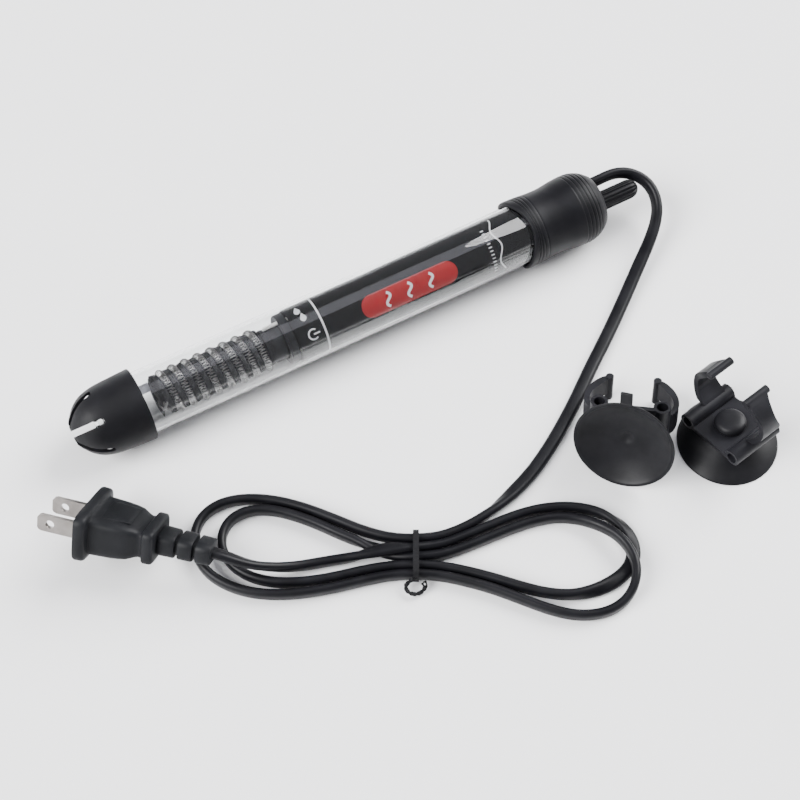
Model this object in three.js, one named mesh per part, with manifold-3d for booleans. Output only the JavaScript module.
// Submersible aquarium heater, lying on its side with its cord tied in a hank and its two holders beside it.
// Millimetres, +Z up, the table at z = 0. The heater's axis runs along +X, from the bottom cap to the knob.
import * as THREE from 'three';
import { mergeVertices } from 'three/addons/utils/BufferGeometryUtils.js';
import Module from 'manifold-3d';

const wasm = await Module();
wasm.setup();

// ---- driving dimensions ----
const GAP = 0.35; // clearance between touching pieces
const ORIGIN = [119.9, -56.78]; // where the heater's own X, Y put the part's origin
const AXIS_Z = 14.15; // height of the heater's axis
const FRONT_TILT = THREE.MathUtils.degToRad(31); // the printed front leans this far from straight up

const GLASS_R = 12;
const GLASS_WALL = 1.1;
const GLASS_TIP_X = 8.7;
const GLASS_END_X = 201;

const CAP_LENGTH = 27.5;
const CAP_RIM_R = 13.8;
const CAP_SLOTS = 6;
const CAP_SLOT_WIDTH = 2.4;
const CAP_SLOT_DEPTH = 11.6;

const FORMER_R = 6.8;
const FORMER_FROM_X = 32.6;
const FORMER_TO_X = 76.2;
const FORMER_BORE_R = 2.6;
const COIL_R = 8.05;
const COIL_WIRE_R = 0.9;
const COIL_FROM_X = 36.6;
const COIL_PITCH = 5.14;
const COIL_TURNS = 7.5;

const NECK_R = 6.9;
const NECK_TO_X = 83.7;
const STEP_RING_R = 9.8;
const STEP_RING_X = [84.1, 87.5];
const SLEEVE_R = 10.4;
const SLEEVE_WALL = 0.5;
const SLEEVE_X = [87.9, 195];
const LEAD_R = 0.7;
const LEAD_ORBIT_R = 8.35;

const COLLAR_LIP_R = 13.8;
const COLLAR_BULGE_R = 14.15;
const COLLAR_LIP_X = 184;
const COLLAR_LIP_DIP = 3.4; // the lip's front and back sit this far behind its sides
const COLLAR_SHOULDER_X = 201.4;
const COLLAR_WALL_X = 217.4;
const COLLAR_END_X = 220.3;

const KNOB_X = [221, 239.5];
const KNOB_R = 3.9;
const KNOB_FLUTES = 12;
const KNOB_OFFSET = -1.5; // knob axis from the heater's axis
const STEM_R = 1.5;
const STEM_X = [173.9, 227.5];

const CORD_WIDTH = 5.2;
const CORD_THICKNESS = 3.2;
const CORD_OFFSET = 6.5; // cord exit from the heater's axis
const CORD_EXIT_X = 221.6;

const BLADE_SPACING = 12.7;
const BLADE_WIDTH = 6.35;
const BLADE_THICKNESS = 1.5;
const BLADE_LENGTH = 21.5;
const BLADE_HOLE_R = 1.6;
const BLADE_HOLE_FROM_TIP = 4.7;
const PLUG_FACE = 15.6; // from the blade tips to the plug's front face
const PLUG_END = 43;
const RELIEF_LENGTH = 19.3;

const CUP_R = 18.5;
const CUP_NECK_R = 2.9;
const CUP_TAB = [17.3, 22.9]; // pull tab, from the cup's axis
const CUP_TAB_WIDTH = 4.4;
const CUP_PIVOT_HEIGHT = 6; // the soft neck bends here, above the cup's mouth
const CLIP_STANDOFF = 5.6; // from that bend to the clip's tube centres
const CLIP_LENGTH = 21;
const CLIP_ARM_Y = [-2.9, 7]; // the arms stand towards one end of the tubes
const CLIP_TUBE_R = 3.15;
const CLIP_TUBE_BORE_R = 2.1;
const CLIP_TUBE_X = 11.2;
const CLIP_PLATE_Z = [-2.3, -0.6];
const CLIP_BEAD = [8.8, 21.8];
const CLIP_BEAD_R = 1.5;
const CLIP_BEAD_Y = [-2.6, 8.2];

// ---- materials ----
const finish = (color, roughness, metalness = 0, opacity = 1) =>
  new THREE.MeshStandardMaterial({ color, roughness, metalness, opacity, transparent: opacity < 1 });
const BLACK_RUBBER = finish(0x26262a, 0.55);
const BLACK_PLASTIC = finish(0x1d1d20, 0.4);
const GLASS = finish(0xdfe6e8, 0.05, 0, 0.3);
const CERAMIC = finish(0xd9d6cf, 0.8);
const RESISTANCE_WIRE = finish(0x9b948c, 0.4, 0.9);
const STEEL = finish(0xb9bcc0, 0.3, 1);
const BRASS = finish(0xc9a45a, 0.35, 1);
const PRINTED = finish(0x141416, 0.3);
const WHITE_LEAD = finish(0xe8e6e0, 0.6);
const CORD_PVC = finish(0x2b2b2e, 0.5);
const CLEAR_PVC = finish(0x38383c, 0.4);

// ---- solids ----
// A closed three.js geometry as a manifold-3d solid with its faces pointing out.
function solid(geometry) {
  const loose = geometry.index ? geometry.toNonIndexed() : geometry.clone();
  loose.deleteAttribute('normal');
  loose.deleteAttribute('uv');
  const merged = mergeVertices(loose, 1e-4);
  const triVerts = new Uint32Array(merged.index.array);
  const build = () =>
    new wasm.Manifold(
      new wasm.Mesh({ numProp: 3, vertProperties: merged.attributes.position.array, triVerts }),
    );
  const made = build();
  if (made.volume() >= 0) return made;
  for (let i = 0; i < triVerts.length; i += 3) {
    [triVerts[i + 1], triVerts[i + 2]] = [triVerts[i + 2], triVerts[i + 1]];
  }
  return build();
}

function geometryOf(body) {
  const mesh = body.getMesh();
  const geometry = new THREE.BufferGeometry();
  geometry.setAttribute('position', new THREE.BufferAttribute(new Float32Array(mesh.vertProperties), 3));
  geometry.setIndex([...mesh.triVerts]);
  geometry.computeVertexNormals();
  return geometry;
}

function piece(name, body, material, parent) {
  const mesh = new THREE.Mesh(geometryOf(body), material);
  mesh.name = name;
  parent.add(mesh);
  return mesh;
}

// A profile of [x, radius] points turned about the X axis.
function turned(profile, segments = 40) {
  const points = profile.map(([x, r]) => new THREE.Vector2(r, x));
  return new THREE.LatheGeometry(points, segments).rotateZ(-Math.PI / 2);
}

// A closed ring about the X axis: outer and inner radius between two stations.
function tube([from, to], outer, inner, segments = 40) {
  return turned([[from, inner], [from, outer], [to, outer], [to, inner], [from, inner]], segments);
}

const rod = ([from, to], radius, segments = 24) =>
  turned([[from, 0], [from, radius], [to, radius], [to, 0]], segments);

const block = ([x0, x1], [y0, y1], [z0, z1]) =>
  new THREE.BoxGeometry(x1 - x0, y1 - y0, z1 - z0).translate((x0 + x1) / 2, (y0 + y1) / 2, (z0 + z1) / 2);

// Rings of [x, halfWidth, halfHeight] joined along X, each a rounded rectangle.
function loft(stations, squareness = 7, segments = 32) {
  const first = stations[0];
  const last = stations[stations.length - 1];
  const ends = [[first[0], 0, 0], ...stations, [last[0], 0, 0]];
  const geometry = new THREE.LatheGeometry(ends.map(([x, w]) => new THREE.Vector2(w > 0 ? 1 : 0, x)), segments);
  geometry.rotateZ(-Math.PI / 2);
  const position = geometry.attributes.position;
  for (let i = 0; i < position.count; i++) {
    const [, halfWidth, halfHeight] = ends[i % ends.length];
    const angle = Math.atan2(position.getZ(i), position.getY(i));
    const c = Math.abs(Math.cos(angle)) ** squareness;
    const s = Math.abs(Math.sin(angle)) ** squareness;
    const reach = (c + s) ** (-1 / squareness);
    position.setY(i, halfWidth * reach * Math.cos(angle));
    position.setZ(i, halfHeight * reach * Math.sin(angle));
  }
  return geometry;
}

// The flat cord's section, its width along the shape's X.
function flatSection(width, thickness, sides = 2) {
  const shape = new THREE.Shape();
  const half = (width - thickness) / 2;
  shape.absarc(half, 0, thickness / 2, -Math.PI / 2, Math.PI / 2, false);
  shape.absarc(-half, 0, thickness / 2, Math.PI / 2, (3 * Math.PI) / 2, false);
  return new THREE.Shape(shape.getPoints(sides));
}

// A straight passage for the cord through the head, its width upright on the table.
function cordPassage([from, to], clearance) {
  const shape = flatSection(CORD_WIDTH + 2 * clearance, CORD_THICKNESS + 2 * clearance);
  return new THREE.ExtrudeGeometry(shape, { depth: to - from, bevelEnabled: false })
    .rotateY(Math.PI / 2)
    .rotateX(-FRONT_TILT)
    .translate(from, CORD_OFFSET, 0);
}

// ---- the cord's curve: it lies flat at twist 0 and stands on edge at twist 90 ----
class FlatCordCurve extends THREE.CatmullRomCurve3 {
  constructor(route) {
    super(route.map(([x, y, z]) => new THREE.Vector3(x, y, z)), false, 'centripetal');
    this.twists = route.map((point) => THREE.MathUtils.degToRad(point[3]));
  }

  getSpacedPoints(divisions) {
    return this.getPoints(divisions);
  }

  computeFrenetFrames(segments) {
    const tangents = [];
    const normals = [];
    const binormals = [];
    const up = new THREE.Vector3(0, 0, 1);
    for (let i = 0; i <= segments; i++) {
      const t = i / segments;
      const along = this.getTangent(t);
      const side = new THREE.Vector3().crossVectors(up, along).normalize();
      const spot = t * (this.twists.length - 1);
      const before = Math.min(Math.floor(spot), this.twists.length - 2);
      const twist = THREE.MathUtils.lerp(this.twists[before], this.twists[before + 1], spot - before);
      const wide = side.applyAxisAngle(along, twist);
      tangents.push(along);
      normals.push(wide);
      binormals.push(new THREE.Vector3().crossVectors(along, wide));
    }
    return { tangents, normals, binormals };
  }
}

function flatCord(route, stepsPerPoint) {
  const extrudePath = new FlatCordCurve(route);
  return new THREE.ExtrudeGeometry(flatSection(CORD_WIDTH, CORD_THICKNESS), {
    steps: (route.length - 1) * stepsPerPoint,
    extrudePath,
  });
}

// ---- groups ----
const part = new THREE.Group();
part.position.set(-ORIGIN[0], -ORIGIN[1], 0);

const heater = new THREE.Group(); // local +Z faces the printed front
heater.position.z = AXIS_Z;
heater.rotation.x = FRONT_TILT;
part.add(heater);

// ---- bottom cap: a rubber boot with six slots running back from its tip ----
function bottomCap() {
  const rimInner = GLASS_R + GAP;
  const outside = [[0.3, 0], [0.3, 4], [1, 5.1], [1.9, 6.5], [3.5, 8.7], [6.2, 10.9], [9, 12.2],
    [13.5, 13.2], [CAP_LENGTH - 0.4, CAP_RIM_R], [CAP_LENGTH, CAP_RIM_R - 0.3]];
  const inside = [
    [CAP_LENGTH, rimInner], [13, rimInner], [9.5, 11.2], [6.2, 9], [4.2, 6.4], [3, 3.4], [2.6, 0],
  ];
  let body = solid(turned([...outside, ...inside], 36));
  for (let i = 0; i < CAP_SLOTS / 2; i++) {
    const halfSlot = CAP_SLOT_WIDTH / 2;
    const slot = block([-1, CAP_SLOT_DEPTH], [-halfSlot, halfSlot], [-20, 20]);
    body = body.subtract(solid(slot.rotateX((i * 2 * Math.PI) / CAP_SLOTS)));
  }
  piece('bottom_cap', body, BLACK_RUBBER, heater);
}

// ---- glass tube: round closed end in the cap, open end in the collar ----
function glassTube() {
  const dome = (radius, tip, steps) => {
    const points = [];
    for (let i = 0; i <= steps; i++) {
      const angle = (i / steps) * (Math.PI / 2);
      points.push([tip + radius * (1 - Math.cos(angle)), radius * Math.sin(angle)]);
    }
    return points;
  };
  const inner = GLASS_R - GLASS_WALL;
  const outside = dome(GLASS_R, GLASS_TIP_X, 6);
  const inside = dome(inner, GLASS_TIP_X + GLASS_WALL, 5).reverse();
  const profile = [...outside, [GLASS_END_X, GLASS_R], [GLASS_END_X, inner], ...inside];
  piece('glass_tube', solid(turned(profile, 32)), GLASS, heater);
}

// ---- heating element: ceramic former, key, resistance coil, neck ----
function element() {
  piece('ceramic_former', solid(tube([FORMER_FROM_X, FORMER_TO_X], FORMER_R, FORMER_BORE_R, 24)),
    CERAMIC, heater);
  piece('former_tongue', solid(block([25.5, FORMER_FROM_X - GAP], [2.8, 6.2], [-0.7, 0.7])), CERAMIC, heater);

  class Helix extends THREE.Curve {
    getPoint(t) {
      const angle = t * COIL_TURNS * 2 * Math.PI;
      const x = COIL_FROM_X + t * COIL_TURNS * COIL_PITCH;
      return new THREE.Vector3(x, COIL_R * Math.cos(angle), COIL_R * Math.sin(angle));
    }
  }
  const wireRound = new THREE.Path().absarc(0, 0, COIL_WIRE_R, 0, 2 * Math.PI);
  const wire = new THREE.Shape(wireRound.getPoints(6).slice(0, 6));
  const coil = new THREE.ExtrudeGeometry(wire, { steps: COIL_TURNS * 10, extrudePath: new Helix() });
  piece('heating_coil', solid(coil), RESISTANCE_WIRE, heater);

  const neck = solid(tube([FORMER_TO_X + GAP, NECK_TO_X], NECK_R, FORMER_BORE_R, 24));
  piece('element_neck', neck, CERAMIC, heater);
}

// ---- spacer ring with two notches, and the lead wires that run through them ----
function leads() {
  let ring = solid(tube(STEP_RING_X, STEP_RING_R, NECK_R + GAP, 28));
  const notchReach = LEAD_R + GAP;
  for (const side of [-1, 1]) {
    const notch = block([80, 90], [LEAD_ORBIT_R - notchReach, 12], [-notchReach, notchReach]);
    ring = ring.subtract(solid(notch.rotateX(side > 0 ? 0.7 : 0.7 + Math.PI)));
    const wire = rod([78, side > 0 ? 141 : 117], LEAD_R, 8).translate(0, LEAD_ORBIT_R, 0);
    piece(side > 0 ? 'lead_wire_a' : 'lead_wire_b',
      solid(wire.rotateX(side > 0 ? 0.7 : 0.7 + Math.PI)), WHITE_LEAD, heater);
  }
  piece('step_ring', ring, CERAMIC, heater);
  piece('print_sleeve', solid(tube(SLEEVE_X, SLEEVE_R, SLEEVE_R - SLEEVE_WALL, 32)), PRINTED, heater);
}

// ---- thermostat inside the sleeve ----
const FRAME_X = [104, 190];
const STRIP_X = [118.5, 168]; // fixed on the post, free at the far end
const POST_X = [112, 122];
const STRIP_Z = [1, 1.8];
const FRAME_Z = [-3.6, -2.6];
const NUT_X = [183, 187];
const LEVER_X = [172.3, 173.5];

function thermostat() {
  let frame = solid(block(FRAME_X, [-5, 5], FRAME_Z));
  frame = frame.add(solid(block([FRAME_X[1] - 2, FRAME_X[1]], [-5, 5], [FRAME_Z[0], 4])));
  const screwHole = rod([FRAME_X[1] - 4, FRAME_X[1] + 2], STEM_R + GAP).translate(0, KNOB_OFFSET, 0);
  frame = frame.subtract(solid(screwHole));
  piece('thermostat_frame', frame, STEEL, heater);

  piece('bimetal_post', solid(block(POST_X, [-3, 3], [FRAME_Z[1] + GAP, STRIP_Z[0] - GAP])), CERAMIC, heater);
  piece('bimetal_strip', solid(block(STRIP_X, [-2.2, 2.2], STRIP_Z)), BRASS, heater);

  const contactX = 160;
  const button = (z0, z1) => solid(
    new THREE.CylinderGeometry(1.3, 1.3, z1 - z0, 16).rotateX(Math.PI / 2)
      .translate(contactX, 0, (z0 + z1) / 2));
  piece('moving_contact', button(STRIP_Z[0] - GAP - 0.8, STRIP_Z[0] - GAP), STEEL, heater);
  piece('fixed_contact', button(FRAME_Z[1] + GAP, STRIP_Z[0] - 2 * GAP - 1.2), STEEL, heater);

  let nut = solid(block(NUT_X, [KNOB_OFFSET - 3, KNOB_OFFSET + 3], [FRAME_Z[1] + GAP, 2.6]));
  nut = nut.subtract(solid(rod([NUT_X[0] - 1, NUT_X[1] + 1], STEM_R + GAP).translate(0, KNOB_OFFSET, 0)));
  piece('adjust_nut', nut, BRASS, heater);

  // The stem's nose bears on this lever, which sets the gap that the strip has to close.
  const lever = block(LEVER_X, [KNOB_OFFSET - 2, KNOB_OFFSET + 2], [FRAME_Z[1] + GAP, 2.4]);
  piece('setting_lever', solid(lever), STEEL, heater);

  const lamp = turned([[127, 0], [127.5, 1.2], [129, 1.9], [136, 1.9], [137, 1.2], [137, 0]], 16);
  piece('indicator_lamp', solid(lamp.translate(0, -2.2, 6)), GLASS, heater);
  piece('lamp_resistor', solid(rod([142, 149], 1.1, 12).translate(0, -2.2, 6)), CERAMIC, heater);
}

// ---- collar: grooved rubber cap over the tube's open end, with a saddle-shaped lip ----
function collar() {
  const bore = GLASS_R + GAP;
  const outside = [[COLLAR_LIP_X, bore + 0.35], [COLLAR_LIP_X + 0.4, COLLAR_LIP_R - 0.35],
    [COLLAR_LIP_X + 1.4, COLLAR_LIP_R], [190.5, 13.6], [196, 13.2], [201, 13.25], [205.5, 13.8],
    [210, COLLAR_BULGE_R], [213.5, 14], [216, 13.3], [218, 12.3], [219.5, 11.1], [COLLAR_END_X, 10.4],
    [COLLAR_END_X, 0]];
  const inside = [[COLLAR_WALL_X, 0], [COLLAR_WALL_X, 11.6], [COLLAR_SHOULDER_X, 11.6],
    [COLLAR_SHOULDER_X, bore], [191, bore], [COLLAR_LIP_X, bore]];
  const lathe = turned([...inside, ...outside], 32);
  const position = lathe.attributes.position;
  for (let i = 0; i < position.count; i++) {
    const x = position.getX(i);
    const reach = THREE.MathUtils.clamp((190.5 - x) / (190.5 - COLLAR_LIP_X), 0, 1);
    const radius = Math.hypot(position.getY(i), position.getZ(i)) || 1;
    const facing = (position.getZ(i) / radius) ** 2;
    position.setX(i, x + COLLAR_LIP_DIP * reach * facing);
  }
  let body = solid(lathe);
  const wall = [COLLAR_WALL_X - 1, COLLAR_END_X + 1];
  body = body.subtract(solid(rod(wall, 3.4).translate(0, KNOB_OFFSET, 0)));
  body = body.subtract(solid(cordPassage(wall, 1.3)));
  piece('collar', body, BLACK_RUBBER, heater);

  piece('cord_gland', solid(cordPassage([COLLAR_WALL_X, CORD_EXIT_X], 0.95))
    .subtract(solid(cordPassage([COLLAR_WALL_X - 1, CORD_EXIT_X + 1], GAP))), BLACK_RUBBER, heater);
}

// ---- head plug, its seal, and the turning stem with its seal and knob ----
function head() {
  const plugX = [COLLAR_SHOULDER_X, COLLAR_WALL_X - GAP];
  let plug = solid(turned([[196.5, 0], [196.5, 8.7], [201, 8.7], [plugX[0], 11.25], [plugX[1], 11.25],
    [plugX[1], 0]], 24));
  const through = [195, 219];
  plug = plug.subtract(solid(rod(through, STEM_R + GAP).translate(0, KNOB_OFFSET, 0)));
  plug = plug.subtract(solid(cordPassage(through, GAP)));
  piece('head_plug', plug, BLACK_PLASTIC, heater);

  const sealRing = (radius, section, x) =>
    new THREE.TorusGeometry(radius, section, 6, 20).rotateY(Math.PI / 2).translate(x, 0, 0);
  piece('head_seal', solid(sealRing(9.8, 0.75, 198.8)), BLACK_RUBBER, heater);

  piece('knob_stem', solid(rod(STEM_X, STEM_R, 16).translate(0, KNOB_OFFSET, 0)), STEEL, heater);
  piece('knob_seal', solid(sealRing(2.45, 0.58, 219).translate(0, KNOB_OFFSET, 0)), BLACK_RUBBER, heater);

  const knobProfile = [[KNOB_X[0], STEM_R + GAP], [KNOB_X[0], KNOB_R - 0.3], [KNOB_X[0] + 0.4, KNOB_R],
    [236.2, KNOB_R], [238, KNOB_R - 0.7], [239.1, KNOB_R - 2], [KNOB_X[1], 0], [228.2, 0],
    [228.2, STEM_R + GAP], [KNOB_X[0], STEM_R + GAP]];
  const knob = turned(knobProfile, KNOB_FLUTES * 3);
  const position = knob.attributes.position;
  for (let i = 0; i < position.count; i++) {
    const y = position.getY(i);
    const z = position.getZ(i);
    const onGrip = Math.hypot(y, z) > KNOB_R - 0.5;
    const cut = onGrip ? 0.045 * (1 + Math.cos(KNOB_FLUTES * Math.atan2(z, y))) : 0;
    position.setY(i, y * (1 - cut));
    position.setZ(i, z * (1 - cut));
  }
  piece('knob', solid(knob.translate(0, KNOB_OFFSET, 0)), BLACK_PLASTIC, heater);
}

// ---- plug: flanged body, ribbed strain relief and two flat blades ----
const PLUG_TIP = [-20.3, -24.1, 13.6]; // midway between the blade tips
const PLUG_YAW = THREE.MathUtils.degToRad(-43.9);
const PLUG_PITCH = THREE.MathUtils.degToRad(2);
const PLUG_ROLL = THREE.MathUtils.degToRad(-33.8);

const plugFrame = new THREE.Group(); // local +X from the blades to the cord, +Y across the blades
plugFrame.position.set(...PLUG_TIP);
plugFrame.rotation.set(PLUG_ROLL, -PLUG_PITCH, PLUG_YAW, 'ZYX');
part.add(plugFrame);

function plug() {
  const flange = 13.8;
  const flangeHeight = 8.9;
  let body = solid(loft([[PLUG_FACE, flange - 1, flangeHeight - 1], [PLUG_FACE + 1, flange, flangeHeight],
    [19, flange, flangeHeight], [19.9, flange - 0.8, flangeHeight - 0.7], [20.1, 10.4, 7.3], [27, 10, 6.9],
    [35, 8.9, 6], [37, 7.7, 5.3], [38.8, 7.5, 5.1], [39.2, 9, 6.5], [42.2, 9, 6.5], [PLUG_END, 8.2, 5.8]]));
  for (const [name, side] of [['blade_a', -1], ['blade_b', 1]]) {
    const y = (side * BLADE_SPACING) / 2;
    const halfThick = BLADE_THICKNESS / 2;
    const halfWide = BLADE_WIDTH / 2;
    const pocket = block([PLUG_FACE - 1, BLADE_LENGTH + GAP], [y - halfThick - GAP, y + halfThick + GAP],
      [-halfWide - GAP, halfWide + GAP]);
    body = body.subtract(solid(pocket));
    const outline = new THREE.Shape();
    outline.moveTo(BLADE_LENGTH, -halfWide);
    outline.lineTo(BLADE_LENGTH, halfWide);
    outline.lineTo(1.6, halfWide);
    outline.lineTo(0, halfWide - 1.6);
    outline.lineTo(0, 1.6 - halfWide);
    outline.lineTo(1.6, -halfWide);
    outline.holes.push(new THREE.Path().absarc(BLADE_HOLE_FROM_TIP, 0, BLADE_HOLE_R, 0, 2 * Math.PI));
    const blade = new THREE.ExtrudeGeometry(outline, {
      depth: BLADE_THICKNESS, bevelEnabled: false, curveSegments: 8,
    });
    blade.rotateX(Math.PI / 2).translate(0, y + halfThick, 0);
    piece(name, solid(blade), STEEL, plugFrame);
  }
  piece('plug_body', body, BLACK_PLASTIC, plugFrame);

  const ribs = 3;
  const rib = RELIEF_LENGTH / ribs;
  const stations = [];
  for (let i = 0; i < ribs; i++) {
    const x = PLUG_END + GAP + i * rib;
    const half = 5.5 - 0.25 * i;
    if (i > 0) stations.push([x + 0.05, half - 1.2, half - 2], [x + 1, half - 1.2, half - 2]);
    stations.push([x + (i > 0 ? 1.05 : 0), half, half - 0.9], [x + rib, half - 0.2, half - 1.1]);
  }
  piece('strain_relief', solid(loft(stations, 4, 24)), BLACK_PLASTIC, plugFrame);
}

// ---- cord: the free run from the gland, the tied hank, and the short lead to the plug ----
// The hank's own frame: its tie at the origin, local +X along the bundle, local +Y across it.
const HANK_AT = [88.1, -96.8];
const HANK_YAW = THREE.MathUtils.degToRad(-28.5);
const HANK_Z = [0.1, 5.3];

const hankFrame = new THREE.Group();
hankFrame.position.set(...HANK_AT, 0);
hankFrame.rotation.z = HANK_YAW;
part.add(hankFrame);

const FREE_RUN = [
  [198, 5.6, 17.45, 90], [220.5, 5.6, 17.45, 90], [226, 5.6, 17.5, 90], [232, 5.9, 17.3, 90],
  [238, 4.3, 16.4, 88], [242.6, 0.4, 15, 84], [244.4, -5.5, 13.2, 76], [242.8, -11.2, 11.2, 64],
  [239, -16.6, 9.2, 48], [233, -22.6, 7, 30], [225, -28.6, 5, 14], [214, -37, 3.2, 4],
  [200, -47.6, 2.1, 0], [183.2, -59.7, 1.9, 0], [168, -71, 1.9, 0], [152, -81.4, 1.9, 0],
  [140.5, -87.4, 1.9, 0],
];

const PLUG_LEAD = [
  [-68.4, -4.8, 15.8, -34], [-64, -5.9, 14.1, -42], [-59, -6.7, 11.6, -52], [-54, -6.7, 9, -64],
  [-48, -5.8, 6.2, -76], [-42, -4.7, 4.1, -86], [-35, -2.8, 3, -90], [-30.4, -1, 2.8, -90],
];

const HANK_OUTLINE = [
  [0, 8.5], [14, 9.2], [27, 14.2], [38, 18.8], [49, 21.4], [60, 21.2], [69, 18], [75.6, 12], [78.6, 2],
  [78.4, -10], [75.2, -18], [68, -23], [59, -23.7], [49, -22], [38, -17.6], [26, -12.8], [14, -9.4],
  [0, -8.5], [-14, -9.6], [-28, -13.2], [-42, -15.8], [-53, -16.1], [-64, -13.6], [-74, -7.6], [-79.8, 0],
  [-80.4, 8], [-77, 17.8], [-70, 23], [-61, 24.6], [-50, 23.6], [-38, 20], [-26, 15], [-14, 10],
];
const HANK_LOOPS = [
  [[-29, 0], [-31, 6.4], [-37, 11.8], [-46, 16.4], [-55, 17.8], [-61.4, 16], [-65.4, 12], [-66.6, 6],
    [-64.6, 0], [-60, -4], [-54, -6.8], [-46, -7.8], [-38, -7], [-31.4, -4.4]],
  [[26, 0.4], [29, 5.4], [36, 10.4], [44, 13.4], [52, 14.2], [59, 12.6], [65, 8.6], [69.8, 2.6],
    [70.4, -3.4], [66, -7.8], [60, -10.8], [52, -12.4], [44, -11.6], [36, -9], [29, -4.6]],
];

function closedOutline(points) {
  const curve = new THREE.CatmullRomCurve3(points.map(([x, y]) => new THREE.Vector3(x, y, 0)), true);
  return curve.getPoints(points.length * 2).slice(0, -1).map((point) => new THREE.Vector2(point.x, point.y));
}

function cord() {
  piece('cord_run', solid(flatCord(FREE_RUN, 2)), CORD_PVC, part);
  piece('cord_plug_end', solid(flatCord(PLUG_LEAD, 2)), CORD_PVC, hankFrame);

  const slab = (points, [from, to]) =>
    solid(new THREE.ExtrudeGeometry(new THREE.Shape(closedOutline(points)), {
      depth: to - from, bevelEnabled: false,
    }).translate(0, 0, from));
  let hank = slab(HANK_OUTLINE, HANK_Z);
  for (const loop of HANK_LOOPS) hank = hank.subtract(slab(loop, [HANK_Z[0] - 1, HANK_Z[1] + 1]));
  const halfGroove = 2.2;
  const groove = block([-halfGroove, halfGroove], [-20, 20], [-2, HANK_Z[0] + 1.3]);
  piece('cord_hank', hank.subtract(solid(groove)), CORD_PVC, hankFrame);

  // A paper-and-wire tie wrapped once round the bundle, its two ends twisted into a tail.
  const halfTie = 1;
  let tie = solid(block([-halfTie, halfTie], [-9.6, 9.6], [0.3, 6.4]));
  tie = tie.subtract(solid(block([-5, 5], [-8.9, 8.9], [0.3 + 0.6, HANK_Z[1] + GAP])));
  const tail = new THREE.CatmullRomCurve3([
    new THREE.Vector3(0, -9.2, 3.4), new THREE.Vector3(-1.4, -11.6, 2.6), new THREE.Vector3(-0.6, -14.6, 1.6),
    new THREE.Vector3(2.4, -17, 1.3),
  ]);
  const tailSection = flatSection(1.9, 1.1);
  tie = tie.add(solid(new THREE.ExtrudeGeometry(tailSection, { steps: 8, extrudePath: tail })));
  piece('twist_tie', tie, BLACK_PLASTIC, hankFrame);
}

// ---- holders: a suction cup whose mushroom neck snaps through a spring clip ----
const upright = (profile, segments) =>
  new THREE.LatheGeometry(profile.map(([r, z]) => new THREE.Vector2(r, z)), segments).rotateX(Math.PI / 2);

function clipBody() {
  const shape = new THREE.Shape();
  const [plateLow, plateHigh] = CLIP_PLATE_Z;
  shape.moveTo(-CLIP_TUBE_X, plateLow);
  shape.lineTo(CLIP_TUBE_X, plateLow);
  shape.lineTo(CLIP_TUBE_X, plateHigh);
  shape.lineTo(-CLIP_TUBE_X, plateHigh);
  const alongY = (outline, from, to) =>
    new THREE.ExtrudeGeometry(outline, { depth: to - from, bevelEnabled: false, curveSegments: 8 })
      .rotateX(Math.PI / 2).translate(0, to, 0);
  const half = CLIP_LENGTH / 2;
  let body = solid(alongY(shape, -half, half));

  // Each arm bows out from its foot and comes back in to a bead.
  const outer = [[11.4, 2.4], [14.6, 4.4], [16.8, 7.6], [17.3, 11.2], [16.7, 14.8], [14.9, 18], [12.3, 20.8],
    [9.4, 23]];
  const inner = [[8.2, 21.2], [10.7, 18.8], [13, 16.2], [14.7, 13.8], [15.2, 11], [14.7, 8.2], [12.9, 5.6],
    [9.8, 2.9], [9.6, 1.2], [11.8, 0.4]];
  const bore = (x) => {
    const hole = new THREE.Shape().absarc(x, 0, CLIP_TUBE_BORE_R, 0, 2 * Math.PI);
    return solid(alongY(hole, -half - 1, half + 1));
  };
  for (const side of [-1, 1]) {
    const arm = new THREE.Shape([...outer, ...inner].map(([x, z]) => new THREE.Vector2(side * x, z)));
    const scallop = (y, z, reachY, reachZ) => {
      const cut = new THREE.CylinderGeometry(1, 1, 14, 20).rotateZ(Math.PI / 2);
      return solid(cut.scale(1, reachY, reachZ).translate(side * 13, y, z));
    };
    const leaf = solid(alongY(arm, ...CLIP_ARM_Y)).subtract(scallop(CLIP_ARM_Y[0] - 0.7, 11, 3.4, 6.4));
    body = body.add(leaf.subtract(scallop(CLIP_ARM_Y[1] + 0.9, 15.5, 5, 8)));
    const foot = new THREE.Shape().absarc(side * CLIP_TUBE_X, 0, CLIP_TUBE_R, 0, 2 * Math.PI);
    body = body.add(solid(alongY(foot, -half, half)));
    const bead = new THREE.Shape().absarc(side * CLIP_BEAD[0], CLIP_BEAD[1], CLIP_BEAD_R, 0, 2 * Math.PI);
    body = body.add(solid(alongY(bead, ...CLIP_BEAD_Y)));
  }
  body = body.subtract(bore(-CLIP_TUBE_X)).subtract(bore(CLIP_TUBE_X));
  const neckHole = upright([[0, -5], [CUP_NECK_R + GAP, -5], [CUP_NECK_R + GAP, 2], [0, 2]], 24);
  return body.subtract(solid(neckHole));
}

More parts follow.
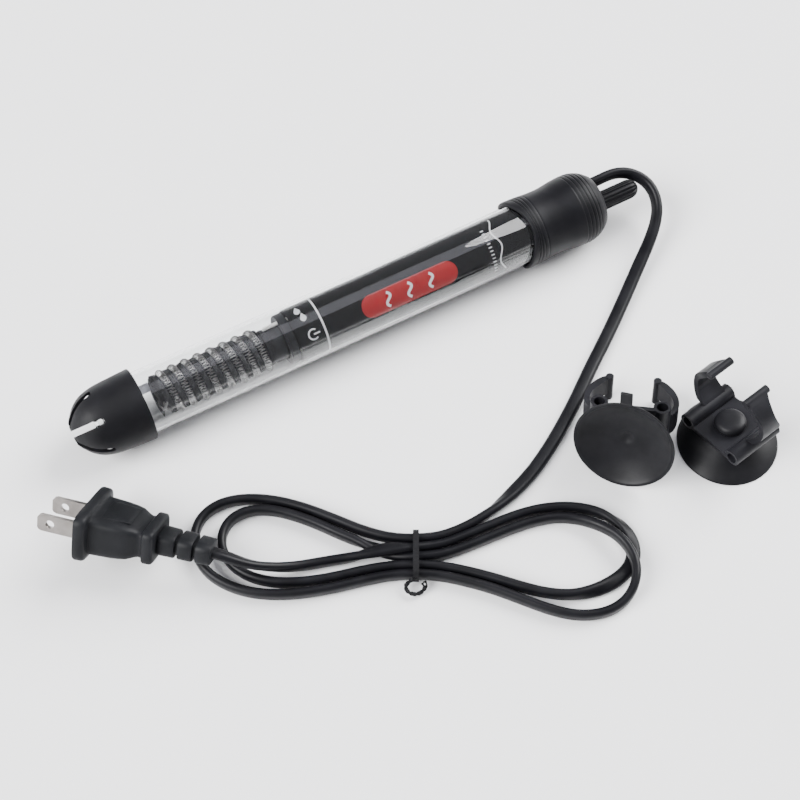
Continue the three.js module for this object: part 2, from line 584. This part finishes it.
// The cup in its own frame, mouth down at z = 0, with the neck and head along the clip's axis.
function cupBody(cupToClip, tabAngle) {
  const mouth = [[0, 6], [1.2, 5.8], [2.2, 5.1], [5.5, 4.9], [9, 4], [12.5, 2.7], [16.2, 0.9], [17.4, 0]];
  const back = [[CUP_R, 0], [CUP_R, 0.35], [17.8, 1.1], [15.5, 2.6], [12, 4.5], [8.5, 6.3], [6.2, 7.4],
    [4.4, 8], [3, 8.25], [0, 8.3]];
  const tab = block(CUP_TAB, [-CUP_TAB_WIDTH / 2, CUP_TAB_WIDTH / 2], [0.15, 1.35]);
  const bell = solid(upright([...mouth, ...back], 24)).add(solid(tab.rotateZ(tabAngle)));
  const headLow = CLIP_PLATE_Z[1] + GAP;
  const neck = [[0, 2 - CLIP_STANDOFF], [CUP_NECK_R, 2 - CLIP_STANDOFF], [CUP_NECK_R, headLow], [5.5, headLow],
    [5.8, headLow + 0.5], [5.8, headLow + 1.9], [5.3, headLow + 2.7], [4, headLow + 3.3], [0, headLow + 3.5]];
  return bell.add(solid(upright(neck, 16).applyMatrix4(cupToClip)));
}

// mouth: the cup's mouth centre; back: its axis away from the mouth; stem and along: the clip's axes;
// tab: where the pull tab stands round the rim, in degrees.
function holder(side, mouth, back, stem, along, tab) {
  const backwards = new THREE.Vector3(...back).normalize();
  const stemAxis = new THREE.Vector3(...stem).normalize();
  const lengthAxis = new THREE.Vector3(...along);
  lengthAxis.addScaledVector(stemAxis, -lengthAxis.dot(stemAxis)).normalize();
  const acrossAxis = new THREE.Vector3().crossVectors(lengthAxis, stemAxis);
  const bend = new THREE.Vector3(...mouth).addScaledVector(backwards, CUP_PIVOT_HEIGHT);
  const seat = bend.clone().addScaledVector(stemAxis, CLIP_STANDOFF);
  const clipMatrix = new THREE.Matrix4().makeBasis(acrossAxis, lengthAxis, stemAxis).setPosition(seat);

  const cupX = new THREE.Vector3().crossVectors(lengthAxis, backwards).normalize();
  const cupY = new THREE.Vector3().crossVectors(backwards, cupX);
  const cupMatrix = new THREE.Matrix4().makeBasis(cupX, cupY, backwards);
  cupMatrix.setPosition(new THREE.Vector3(...mouth));

  const cupToClip = cupMatrix.clone().invert().multiply(clipMatrix);
  const cup = piece(side + '_cup', cupBody(cupToClip, THREE.MathUtils.degToRad(tab)), CLEAR_PVC, part);
  cup.applyMatrix4(cupMatrix);
  const clip = piece(side + '_clip', clipBody(), BLACK_RUBBER, part);
  clip.applyMatrix4(clipMatrix);
}

bottomCap();
glassTube();
element();
leads();
thermostat();
collar();
head();
plug();
cord();
holder('right', [212.1, -109.2, 0.1], [0, 0, 1], [-0.04, 0.174, 0.984], [0.984, 0.176, 0.01], 137);
holder('left', [170.5, -100, 17.85], [0.726, 0.594, -0.347], [0.604, 0.757, -0.248], [-0.097, -0.239, -0.966],
  267);

export default part;
